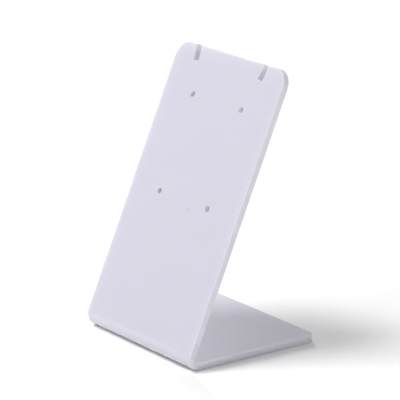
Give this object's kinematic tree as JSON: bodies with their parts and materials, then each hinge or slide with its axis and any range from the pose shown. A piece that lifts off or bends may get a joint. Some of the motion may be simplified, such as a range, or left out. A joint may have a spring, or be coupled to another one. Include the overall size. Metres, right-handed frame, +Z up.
{
  "type": "earring display stand",
  "caption": "Slant-back stand of one folded sheet: a leaning panel with holes for earring posts and slots in its top edge, over a flat base plate.",
  "frame": {"origin": "middle of the footprint, on the surface that the base plate rests on", "axes": "+X across the width, to the right of someone who faces the panel; +Y from the bend back towards the base's free edge; +Z up"},
  "size_m": [0.045, 0.04, 0.0723],
  "materials": {
    "white_acrylic": "white with a faint lavender tone, slightly translucent at holes and edges, satin gloss, softly rounded edges"
  },
  "bodies": {
    "root": {"folded_sheet": "white_acrylic"}
  },
  "joints": []
}
